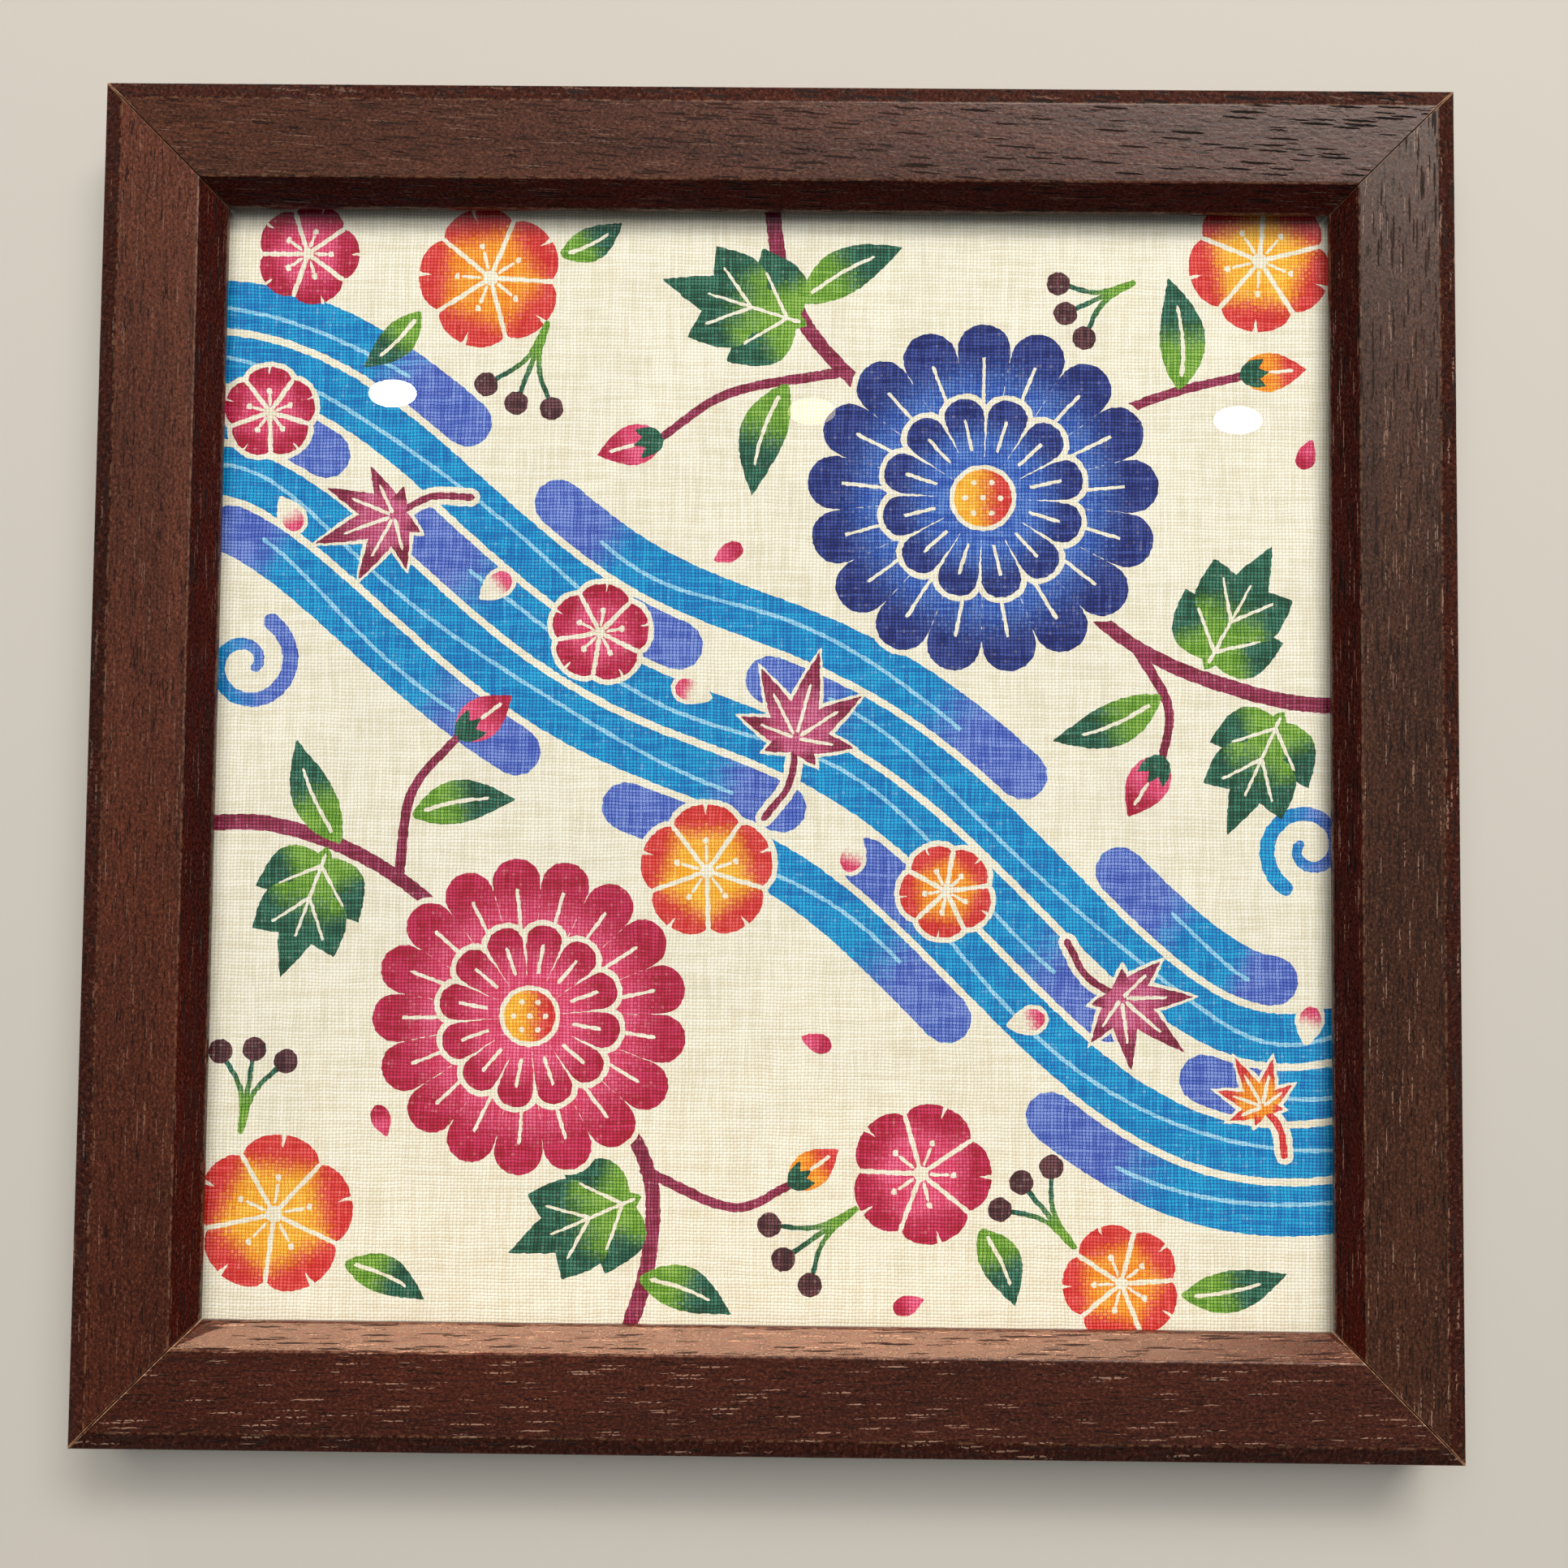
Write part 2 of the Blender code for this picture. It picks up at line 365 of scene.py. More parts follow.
def dyed_cotton():
    """Slubby plain-weave cotton, dyed by brush through stencils: matt, each thread dyed unevenly.

    Seen close: rounded threads over and under each other, with painted shade as dark dots where they part
    and painted light on their crowns, thicker threads that run as streaks both ways, painted paler, and two
    dyes of one shape meeting thread by thread.
    """
    material, tree, shader = new_material(
        "dyed plain-weave cotton",
        Roughness=0.93, Specular_IOR_Level=0.08, Sheen_Weight=0.05, Sheen_Roughness=0.5,
    )
    place = add(tree, "TexCoord", out="Object")
    near_dye = add(tree, "Attribute", out="Color", attribute_name="near_dye")
    far_dye = add(tree, "Attribute", out="Color", attribute_name="far_dye")
    shade = add(tree, "Attribute", out="Fac", attribute_name="shade")

    # The threads wander by about a third of their spacing over 7 mm
    wander = add(tree, "TexNoise", place, out="Color", named={"Scale": 140.0, "Detail": 2.0})
    wander = add(tree, "VectorMath", wander, (0.5, 0.5, 0.5), operation="SUBTRACT")
    wander = add(tree, "VectorMath", wander, (0.0007, 0.0007, 0.0), operation="MULTIPLY")
    wandered = add(tree, "VectorMath", place, wander, operation="ADD")
    threads = add(tree, "VectorMath", wandered, (1 / WARP_PITCH, 1 / WEFT_PITCH, 0.0), operation="MULTIPLY")
    cell = add(tree, "VectorMath", threads, operation="FLOOR")
    cell_xyz = add(tree, "SeparateXYZ", cell).node
    inside = add(tree, "VectorMath", threads, operation="FRACTION")
    inside = add(tree, "VectorMath", inside, (2.0, 2.0, 0.0), (-1.0, -1.0, 0.0), operation="MULTIPLY_ADD")
    squared = add(tree, "VectorMath", inside, inside, operation="MULTIPLY")
    squared_xyz = add(tree, "SeparateXYZ", squared).node
    cell_sum = add(tree, "Math", cell_xyz.outputs["X"], cell_xyz.outputs["Y"], operation="ADD")
    warp_over = add(tree, "Math", cell_sum, 2.0, operation="FLOORED_MODULO")

    # Each thread is round across, and dips where it passes under the next
    across_warp = add(tree, "Math", 1.0, squared_xyz.outputs["X"], operation="SUBTRACT")
    across_weft = add(tree, "Math", 1.0, squared_xyz.outputs["Y"], operation="SUBTRACT")
    dip_warp = add(tree, "Math", squared_xyz.outputs["Y"], -0.5, 1.0, operation="MULTIPLY_ADD")
    dip_weft = add(tree, "Math", squared_xyz.outputs["X"], -0.5, 1.0, operation="MULTIPLY_ADD")
    warp_height = add(tree, "Math", across_warp, dip_warp, operation="MULTIPLY")
    weft_height = add(tree, "Math", across_weft, dip_weft, operation="MULTIPLY")
    height = add(tree, "Mix", named={0: warp_over, 2: weft_height, 3: warp_height})

    # Slubs: each thread has its own run of thick and thin places, about 8 mm long
    threads_xyz = add(tree, "SeparateXYZ", threads).node
    warp_seed = add(tree, "Math", cell_xyz.outputs["X"], 5.7, operation="MULTIPLY")
    weft_seed = add(tree, "Math", cell_xyz.outputs["Y"], 5.7, operation="MULTIPLY")
    warp_run = add(tree, "Math", threads_xyz.outputs["Y"], 0.07, operation="MULTIPLY")
    weft_run = add(tree, "Math", threads_xyz.outputs["X"], 0.07, operation="MULTIPLY")
    warp_place = add(tree, "CombineXYZ", warp_seed, warp_run, 3.1)
    weft_place = add(tree, "CombineXYZ", weft_seed, weft_run, 9.2)
    warp_slub = add(tree, "TexNoise", warp_place, named={"Scale": 1.0, "Detail": 1.0})
    weft_slub = add(tree, "TexNoise", weft_place, named={"Scale": 1.0, "Detail": 1.0})
    slub = add(tree, "Mix", named={0: warp_over, 2: weft_slub, 3: warp_slub})
    streak = add(tree, "Math", warp_slub, weft_slub, operation="ADD")

    # Where two dyes meet, single threads and crossings carry one or the other further
    speck = add(tree, "TexWhiteNoise", cell, out="Value")
    ragged = add(tree, "Math", slub, 0.9, operation="MULTIPLY")
    ragged = add(tree, "Math", speck, 0.22, ragged, operation="MULTIPLY_ADD")
    ragged = add(tree, "Math", ragged, 0.56, operation="SUBTRACT")
    blend = add(tree, "Math", ragged, 0.55, shade, operation="MULTIPLY_ADD")
    blend = add(tree, "MapRange", blend, 0.22, 0.78, 0.0, 1.0, interpolation_type="SMOOTHSTEP")
    dye = add(tree, "Mix", data_type="RGBA", out=2, named={0: blend, 6: near_dye, 7: far_dye})

    # Pale fibres left by the brush, a cloudy tone over centimetres, and painted shade of the weave: each
    # dye darker and deeper in the gaps between threads, paler on their crowns and thick threads
    pale = add(tree, "MapRange", speck, 0.90, 1.0, 0.0, 0.05)
    dye = add(tree, "Mix", data_type="RGBA", out=2, named={0: pale, 6: dye, 7: linear("#F1EAD6")})
    cloud = add(tree, "TexNoise", place, named={"Scale": 90.0, "Detail": 3.0})
    cloud = add(tree, "MapRange", cloud, 0.3, 0.7, 0.97, 1.03)
    packed = add(tree, "MapRange", streak, 0.72, 1.28, 0.0, 1.0)
    above = add(tree, "MapRange", height, 0.05, 0.65, 0.0, 1.0)
    lit = add(tree, "Math", packed, 0.45, above, operation="MULTIPLY_ADD")
    shade_deepened = add(tree, "MapRange", lit, 0.15, 1.30, 2.10, 0.66)
    dye = add(tree, "Gamma", dye, shade_deepened)
    # The weave's painted shade and light, times the cloudy tone
    tone = add(tree, "MapRange", lit, 0.15, 1.30, 0.80, 1.05)
    tone = add(tree, "Math", tone, cloud, operation="MULTIPLY")
    colour = add(tree, "VectorMath", dye, tone, operation="MULTIPLY")
    tree.links.new(colour, shader.inputs["Base Color"])

    relief = add(tree, "Math", slub, 0.6, height, operation="MULTIPLY_ADD")
    bump = add(tree, "Bump", out="Normal", named={"Height": relief, "Strength": 0.5, "Distance": 0.12 * MM})
    tree.links.new(bump, shader.inputs["Normal"])
    return material


def floor_paint():
    """Matt emulsion paint on a smooth board: plain and pale."""
    material, _, _ = new_material("matt floor paint", Base_Color=linear("#C9C5BD"), Roughness=0.85)
    return material


# Rails, clear sheet and board


def select_where(kind, test):
    """Selects only the active mesh's vertices, edges or faces that pass the test, in edit mode."""
    bm = bmesh.from_edit_mesh(bpy.context.object.data)
    for sequence in (bm.verts, bm.edges, bm.faces):
        for part in sequence:
            part.select_set(False)
    for part in getattr(bm, kind):
        if test(part):
            part.select_set(True)
    bmesh.update_edit_mesh(bpy.context.object.data)


def add_block(name, low, high):
    """A squared block between two corners, with its place in its mesh, open in edit mode."""
    deselect_all()
    middle = (Vector(low) + Vector(high)) / 2
    bpy.ops.mesh.primitive_cube_add(size=1.0, location=middle, scale=Vector(high) - Vector(low))
    block = bpy.context.object
    block.name = name
    block.data.name = name
    bpy.ops.object.transform_apply(location=True, rotation=True, scale=True)
    bpy.ops.object.mode_set(mode="EDIT")
    return block


def plane_off(point, normal):
    """Planes away all that lies beyond the plane, and closes the cut."""
    bpy.ops.mesh.select_all(action="SELECT")
    way_off = Vector(normal).normalized()
    bpy.ops.mesh.bisect(plane_co=point, plane_no=way_off, use_fill=True, clear_outer=True)


def keep_faces_flat():
    """Shades the active piece smoothly over its eased edges, its large faces flat and its ends sharp."""
    bpy.ops.object.mode_set(mode="OBJECT")
    bpy.ops.object.shade_smooth_by_angle(angle=math.radians(40))
    bpy.ops.object.modifier_add(type="WEIGHTED_NORMAL")
    weighting = bpy.context.object.modifiers[0]
    weighting.keep_sharp = True
    bpy.ops.object.modifier_apply(modifier=weighting.name)


def runs_along(edge):
    """True for an edge along the rail that stands out from it."""
    one, other = (vert.co for vert in edge.verts)
    along = abs(one.y - other.y) < 1e-6 and abs(one.z - other.z) < 1e-6
    return along and edge.is_convex and len(edge.link_faces) == 2 and edge.calc_face_angle() > 0.1


def model_rail():
    """The bottom rail: a squared length with a lip, two sloping faces, sawn mitres and eased arrises."""
    rebate_wall = -OUTER + RAIL_WIDTH - REBATE_WIDTH
    rail = add_block("bottom_rail", (-OUTER, -OUTER, 0.0), (OUTER, rebate_wall, THICKNESS))
    bpy.ops.mesh.select_all(action="SELECT")
    bpy.ops.mesh.bisect(plane_co=(0, 0, REBATE_TOP), plane_no=(0, 0, 1))
    select_where("faces", lambda f: f.normal.y > 0.9 and f.calc_center_median().z > REBATE_TOP)
    bpy.ops.mesh.extrude_region_move(TRANSFORM_OT_translate={"value": (0, REBATE_WIDTH, 0)})
    chamfer_slope = Vector((0, CHAMFER_FOOT - THICKNESS, CHAMFER_WIDTH))
    plane_off((0, -OUTER, CHAMFER_FOOT), chamfer_slope)
    bevel_slope = Vector((0, THICKNESS - SIGHT_TOP, BEVEL_WIDTH))
    plane_off((0, -OUTER + RAIL_WIDTH, SIGHT_TOP), bevel_slope)
    for end in (-1, 1):
        waste_side = Vector((end, 1, 0)).normalized()
        plane_off(-waste_side * MITRE_GAP / 2, waste_side)
    select_where("edges", runs_along)
    bpy.ops.mesh.bevel(offset=ARRIS_RADIUS, segments=3, affect="EDGES")
    keep_faces_flat()
    return rail


# How far each rail's grain slopes, how raw its mitres are, how much painted highlight its pores show, and
# at its two ends how open its pores are, with painted shade in them, and how it is stained
Rail = namedtuple(
    "Rail", "side slope mitre_wear dust pores_at_start pores_at_end stain_at_start stain_at_end"
)
RAILS = (
    Rail("bottom", -0.020, 1.00, 0.70, 0.40, 0.25, "#3C180C", "#3E1C11"),
    Rail("right", 0.012, 0.25, 0.45, 0.50, 0.65, "#3C2114", "#3C2114"),
    Rail("top", 0.055, 0.05, 0.22, 1.00, 0.40, "#432015", "#482413"),
    Rail("left", 0.004, 0.20, 0.25, 0.35, 0.25, "#572C1C", "#3D1A0D"),
)

# How far each rail's grain lies from the last one's in the timber, along it and across it
GRAIN_SHIFT_ALONG = 0.31
GRAIN_SHIFT_ACROSS = 0.7

# The outer chamfer and the inner slope take darker stains than the faces, redder on the slope: painted
# shade for these sloping faces
CHAMFER_SHADED_STAIN = "#38150B"
SLOPE_SHADED_STAIN = "#370B04"


def mark_timber(rail):
    """Writes each point's place in the timber, and whether its arris is rubbed, a paleness that is in part
    wear and in part painted highlight.
    """
    corners = [
        (0.0, 0.0), (0.0, CHAMFER_FOOT), (CHAMFER_WIDTH, THICKNESS), (RAIL_WIDTH - BEVEL_WIDTH, THICKNESS),
        (RAIL_WIDTH, SIGHT_TOP), (RAIL_WIDTH, REBATE_TOP),
    ]
    timber, wear = [], []
    for vert in rail.data.vertices:
        across = vert.co.y + OUTER
        timber += (vert.co.x, across, vert.co.z)
        nearest = min(math.hypot(across - y, vert.co.z - z) for y, z in corners)
        wear.append(1.0 if nearest < 0.7 * ARRIS_RADIUS else 0.0)
    write_attribute(rail.data, "timber", "FLOAT_VECTOR", "POINT", timber)
    write_attribute(rail.data, "wear", "FLOAT", "POINT", wear)


def finish_rail(mesh, turns, row):
    """Writes one rail's grain, as a sheet laid over it, and its stain, its pores with their share of
    painted shade, and the painted highlights in its pores.
    """
    grain, mitre_wear, dust = [], [], []
    for vert in mesh.vertices:
        along, over = vert.co.x, vert.co.y - vert.co.z
        over += row.slope * along
        grain += (along + GRAIN_SHIFT_ALONG * turns, over + GRAIN_SHIFT_ACROSS * turns, 0.0)
        mitre_wear.append(row.mitre_wear)
        dust.append(row.dust)
    stain, pores_and_shade = [], []
    for face in mesh.polygons:
        on_chamfer = face.normal.y < -0.2 and face.normal.z > 0.5
        on_slope = face.normal.y > 0.5 and face.normal.z > 0.3
        for index in face.vertices:
            at_start = mesh.vertices[index].co.x < 0
            code = row.stain_at_start if at_start else row.stain_at_end
            pores = row.pores_at_start if at_start else row.pores_at_end
            # Chamfer and slope take their darker stains, painted shade for these sloping faces
            stain += linear(CHAMFER_SHADED_STAIN if on_chamfer else SLOPE_SHADED_STAIN if on_slope else code)
            pores_and_shade.append(min(1.0, pores + 0.5 * on_slope))
    write_attribute(mesh, "grain", "FLOAT_VECTOR", "POINT", grain)
    write_attribute(mesh, "mitre_wear", "FLOAT", "POINT", mitre_wear)
    write_attribute(mesh, "dust", "FLOAT", "POINT", dust)
    write_attribute(mesh, "pores_and_shade", "FLOAT", "CORNER", pores_and_shade)
    write_attribute(mesh, "stain", "FLOAT_COLOR", "CORNER", stain)


def build_rails(material):
    """Four rails from one pattern, each finished in its own way and turned a quarter from the last."""
    first = model_rail()
    mark_timber(first)
    first.data.materials.append(material)
    pattern = first.data.copy()
    for turns, row in enumerate(RAILS):
        rail = first
        if turns:
            rail = bpy.data.objects.new(row.side + "_rail", pattern.copy())
            bpy.context.scene.collection.objects.link(rail)
        finish_rail(rail.data, turns, row)
        rail.data.transform(Matrix.Rotation(math.radians(90 * turns), 4, "Z"))
        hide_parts("rail_" + row.side)
        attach(rail, "root")


def build_sheet(name, node, material):
    """A flat sheet in a node's place, with its edges eased."""
    low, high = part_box(node)
    sheet = add_block(name, low, high)
    bpy.ops.mesh.select_all(action="SELECT")
    bpy.ops.mesh.bevel(offset=ARRIS_RADIUS, segments=3, affect="EDGES")
    keep_faces_flat()
    sheet.data.materials.append(material)
    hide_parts(node)
    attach(sheet, "root")
    return sheet


def build_clear_sheet():
    """The clear sheet lets all the light through, so that it throws no shadow on the cloth."""
    sheet = build_sheet("clear_sheet", "glazing", clear_acrylic())
    sheet.visible_shadow = False
    sheet.visible_diffuse = False


# Drawing on the cloth

Region = namedtuple("Region", "outline near far start end")

IVORY = "#F3EDD9"
CERULEAN = "#048ACC"
PERIWINKLE = "#5873CB"
SKY = "#8FCBEA"
NAVY = "#1B2A78"
BLUE = "#3C69C2"
CRIMSON = "#B4113A"
PINK = "#E04A75"
RED = "#D8332E"
ORANGE = "#F79B1E"
YELLOW = "#FBB92E"
FOREST = "#1B5740"
GRASS = "#6FA22E"
MAROON = "#8A2142"
ROSE = "#C4527C"
BROWN = "#4B2226"

regions = []


def polar(radius, degrees):
    return cmath.rect(radius, math.radians(degrees))


def dye(outline, near, far=None, start=0, end=1):
    """Brushes one dye, or two that meet between start and end, inside an outline, over all before it."""
    regions.append(Region(outline, near, far or near, start, end))


def smooth(points, steps=8):
    """An open line through the points that bends evenly at each."""
    ends = [2 * points[0] - points[1]] + points + [2 * points[-1] - points[-2]]
    line = []
    for a, b, c, d in zip(ends, ends[1:], ends[2:], ends[3:]):
        for step in range(steps):
            t = step / steps
            line.append(
                b + 0.5 * t * (c - a + t * (2 * a - 5 * b + 4 * c - d + t * (3 * (b - c) + d - a)))
            )
    return line + [points[-1]]


def stroke(line, width, end_width=None, steps=6):
    """The outline of a brush stroke along a line, with round ends."""
    end_width = width if end_width is None else end_width
    count = len(line) - 1
    left, right = [], []
    for i, point in enumerate(line):
        ahead = line[min(i + 1, count)] - line[max(i - 1, 0)]
        side = 1j * ahead / abs(ahead)
        half = (width + (end_width - width) * i / count) / 2
        left.append(point + side * half)
        right.append(point - side * half)
    caps = []
    for point, edge in ((line[-1], right[-1]), (line[0], left[0])):
        caps.append([point + (edge - point) * polar(1, 180 * k / steps) for k in range(1, steps)])
    return right + caps[0] + left[::-1] + caps[1]


def disc(centre, radius, steps=20):
    return [centre + polar(radius, 360 * k / steps) for k in range(steps)]


def blade(root, tip, width, profile, bend=0.0, grow=0.0, steps=18):
    """A leaf or petal from root to tip: profile gives its half width along it, and bend bows it aside."""
    ahead = (tip - root) / abs(tip - root)
    length = abs(tip - root) + 2 * grow
    base = root - ahead * grow
    side = 1j * ahead
    left, right = [], []
    for step in range(steps + 1):
        t = (1 - math.cos(math.pi * step / steps)) / 2
        middle = base + ahead * length * t + side * bend * 4 * t * (1 - t)
        half = profile(t) * (width / 2 + grow)
        left.append(middle + side * half)
        right.append(middle - side * half)
    return right + left[::-1]


def pointed(t):
    """A leaf's half width: pointed at both ends and widest before its middle."""
    return math.sin(math.pi * t ** 0.85)


def narrow_point(t):
    """A maple lobe's half width: widest near its root, with a long point."""
    return min(1.0, 4.0 * t + 0.35) * (1 - t ** 1.6)


def round_ended(t):
    """A chrysanthemum petal's half width: slim at its root and round at its tip."""
    cap = max(0.0, (t - 0.78) / 0.22)
    return (0.36 + 0.64 * min(1.0, t / 0.72) ** 0.9) * math.sqrt(max(0.0, 1 - cap * cap))


def drop(t):
    """A bud's half width: a point at its tip and round at its root."""
    if t < 0.4:
        return math.sqrt(max(0.0, 1 - (1 - t / 0.4) ** 2))
    return math.cos((t - 0.4) / 0.6 * math.pi / 2)


def full_petal(t):
    """A blossom petal's half width: slim at its root, broad, and rounded off at its tip."""
    cap = max(0.0, (t - 0.62) / 0.38)
    return (0.12 + 0.88 * math.sin(min(1.0, t / 0.62) * math.pi / 2)) * math.sqrt(max(0.0, 1 - cap * cap))


# Motifs, some with a halo of bare cloth round them

HALO = 0.9
MAPLE_HALO = 1.0

# A chrysanthemum's rings of petals: their ends and width are shares of its radius
Ring = namedtuple("Ring", "petals inner outer width turn")

PETAL_RINGS = (
    Ring(17, 0.34, 1.00, 0.305, 0.0),
    Ring(12, 0.15, 0.58, 0.225, 8.0),
)


def chrysanthemum(centre, radius, turn, tip_dye, root_dye, heart_dye):
    """Two rings of long petals round a heart, each petal shaded from its root, with a fine line up it."""
    for ring in PETAL_RINGS:
        for grow in (HALO, 0.0):
            for k in range(ring.petals):
                ray = polar(radius, turn + ring.turn + 360 * k / ring.petals)
                root, tip = centre + ray * ring.inner, centre + ray * ring.outer
                outline = blade(root, tip, radius * ring.width, round_ended, grow=grow)
                if grow:
                    dye(outline, IVORY)
                    continue
                dye(outline, root_dye, tip_dye, root + (tip - root) * 0.15, root + (tip - root) * 0.95)
                vein = [root + (tip - root) * t for t in (0.30, 0.45, 0.60, 0.70)]
                dye(stroke(vein, 0.6), IVORY)
    dye(disc(centre, radius * 0.165 + 0.8), IVORY)
    dye(disc(centre, radius * 0.165), heart_dye, RED, centre - radius * 0.15, centre + radius * 0.18)
    for k in range(7):
        spot = centre + polar(radius * (0.10 if k else 0.0), 60 * k)
        dye(disc(spot, 0.55, 8), IVORY)


def cherry_blossom(centre, radius, turn, root_dye, tip_dye, halo=0.0):
    """Five broad notched petals, in two coats where there is no halo, lines between and fine stamens."""
    for grow in (halo, 0.0):
        for k in range(5):
            ray = polar(radius, turn + 72 * k)
            outline = blade(centre + ray * 0.10, centre + ray, radius * 0.98, full_petal, grow=grow)
            if grow:
                dye(outline, IVORY)
                continue
            dye(outline, root_dye, tip_dye, centre + ray * 0.22, centre + ray * 0.92)
            notch = centre + ray * 1.04
            dye([notch + ray * 0.04j, notch - ray * 0.22, notch - ray * 0.04j], IVORY)
    for k in range(5):
        between = polar(radius, turn + 36 + 72 * k)
        dye(stroke([centre + between * t for t in (0.10, 0.4, 0.85)], 0.8), IVORY)
        ray = polar(radius, turn + 72 * k)
        dye(stroke([centre + ray * t for t in (0.14, 0.25, 0.38)], 0.55), IVORY)
        dye(disc(centre + ray * 0.46, 0.62, 8), IVORY)
    dye(disc(centre, radius * 0.11, 12), IVORY)


def leaf(root, tip, width, bend):
    """A pointed leaf in two greens with a midrib left bare."""
    ahead = tip - root
    outline = blade(root, tip, width, pointed, bend)
    dye(outline, GRASS, FOREST, root + ahead * 0.2, root + ahead * 0.75)
    side = 1j * ahead / abs(ahead)
    rib = [root + ahead * t + side * bend * 4 * t * (1 - t) for t in (0.14, 0.35, 0.56, 0.74)]
    dye(stroke(smooth(rib, 4), 0.75, 0.5), IVORY)


def lobed_leaf(root, tip, width):
    """A chrysanthemum's leaf: a middle lobe and two pairs of side lobes, with a bare rib up each."""
    ahead = tip - root
    lobes = [(0.10, 0.52, 48), (0.10, 0.52, -48), (0.34, 0.50, 38), (0.34, 0.50, -38), (0.02, 0.98, 0)]
    for start, length, turn in lobes:
        foot = root + ahead * start
        point = foot + ahead * length * polar(1, turn)
        bulk = width * (0.62 if turn else 0.58)
        outline = blade(foot, point, bulk, pointed)
        dye(outline, GRASS, FOREST, foot + (point - foot) * 0.15, foot + (point - foot) * 0.72)
    for start, length, turn in lobes:
        foot = root + ahead * (start + 0.06)
        point = foot + ahead * length * polar(0.62, turn)
        dye(stroke([foot, (foot + point) / 2, point], 0.65, 0.45), IVORY)


def maple_leaf(centre, radius, turn, near=ROSE, far=MAROON):
    """Seven pointed lobes from one heart, on a short stalk, with bare veins."""
    lobes = [(0, 1.0), (42, 0.88), (-42, 0.88), (84, 0.66), (-84, 0.66), (128, 0.38), (-128, 0.38)]
    stalk = [centre, centre - polar(radius * 0.5, turn + 8), centre - polar(radius * 0.95, turn - 6)]
    for grow in (MAPLE_HALO, 0.0):
        dye(stroke(smooth(stalk, 4), 1.2 + 2 * grow), IVORY if grow else far)
        for angle, share in lobes:
            tip = centre + polar(radius * share, turn + angle)
            outline = blade(centre, tip, radius * 0.40 * share ** 0.4, narrow_point, grow=grow)
            if grow:
                dye(outline, IVORY)
            else:
                dye(outline, near, far, centre + (tip - centre) * 0.25, centre + (tip - centre) * 0.8)
    for angle, share in lobes[:5]:
        vein = [centre + polar(radius * share * t, turn + angle) for t in (0.08, 0.35, 0.62)]
        dye(stroke(vein, 0.7, 0.45), IVORY)


def bud(root, tip, near=ORANGE, far=RED):
    """A closed bud in its green cup."""
    ahead = tip - root
    dye(blade(root, tip, abs(ahead) * 0.62, drop), near, far, root + ahead * 0.3, root + ahead * 0.85)
    dye(stroke([root + ahead * t for t in (0.42, 0.6, 0.78)], 0.6), IVORY)
    for turn in (-32, 0, 32):
        sepal_tip = root + ahead * 0.42 * polar(1, turn)
        dye(blade(root - ahead * 0.06, sepal_tip, abs(ahead) * 0.2, pointed), FOREST)


def stem(points, width, end_width):
    dye(stroke(smooth(points), width, end_width), MAROON)


def berries(root, turn, reach):
    """Three fine stalks that fan out, each with a round dark berry."""
    for aside in (-24, 0, 24):
        line = [root, root + polar(reach * 0.5, turn + aside * 0.4), root + polar(reach, turn + aside)]
        dye(stroke(smooth(line, 5), 1.0, 0.8), GRASS, FOREST, root, line[2])
        dye(disc(line[2], 2.1, 14), BROWN)


def loose_petal(centre, length, turn, near, far):
    ray = polar(length, turn)
    foot, tip = centre - ray / 2, centre + ray / 2
    dye(blade(foot, tip, length * 0.62, full_petal, grow=0.7), IVORY)
    dye(blade(foot, tip, length * 0.62, full_petal), near, far, centre - ray / 3, tip)


# The stream: its middle line, and the strands that run beside it, violet at their ends on the cloth

STRAND_SPACING = 9.7
STRAND_WIDTH = 8.4
VIOLET_REACH = 22.0
HALF_CLOTH = 100


def stream_middle(x):
    return complex(x, -54 * math.sin(math.pi * x / 224) + 7 * math.sin(2 * math.pi * x / 112 + 0.5))


def beside_stream(x, offset):
    """A point beside the stream's middle line, at the offset to its left."""
    ahead = stream_middle(x + 0.5) - stream_middle(x - 0.5)
    return stream_middle(x) + 1j * ahead / abs(ahead) * offset


def strand(number, start, end):
    """One strand of water: cerulean, going to violet blue at its round ends, with a pale line along it."""
    offset = number * STRAND_SPACING
    xs = [start + (end - start) * k / 40 for k in range(41)]
    line = [beside_stream(x, offset) for x in xs]
    dye(stroke(line, STRAND_WIDTH), CERULEAN)
    for x, reach in ((start, VIOLET_REACH), (end, -VIOLET_REACH)):
        if abs(x) < HALF_CLOTH:
            tip_line = [beside_stream(x + reach * k / 10, offset) for k in range(11)]
            dye(stroke(tip_line, STRAND_WIDTH), PERIWINKLE, CERULEAN, tip_line[2], tip_line[8])
    pale = []
    for k in range(31):
        x = start + 9 + (end - start - 18) * k / 30
        pale.append(beside_stream(x, offset + 1.1 * math.sin(x / 9 + number)))
    dye(stroke(pale, 0.7), SKY)


def eddy(centre, radius, turn, hand):
    """A curl of water: a stroke that winds in and thins."""
    line = [centre + polar(radius * (1 - 0.80 * k / 26), turn + hand * 17 * k) for k in range(27)]
    dye(stroke(line, radius * 0.34, radius * 0.20), CERULEAN, PERIWINKLE, centre - radius, centre + radius)


def draw_stream():
    """Strands side by side, each with its number from the middle, its start and its end, and two eddies."""
    strands = (
        (2, -112, -66), (2, -50, 30), (2, 46, 84),
        (1, -112, -20), (1, -4, 112),
        (0, -112, -78), (0, -62, 58), (0, 74, 112),
        (-1, -112, 6), (-1, 22, 112),
        (-2, -88, -34), (-2, -18, 44), (-2, 60, 112),
    )
    for number, start, end in strands:
        strand(number, start, end)
    eddy(complex(-91, 16), 8.5, 60, -1)
    eddy(complex(92, -14), 8.0, 240, -1)


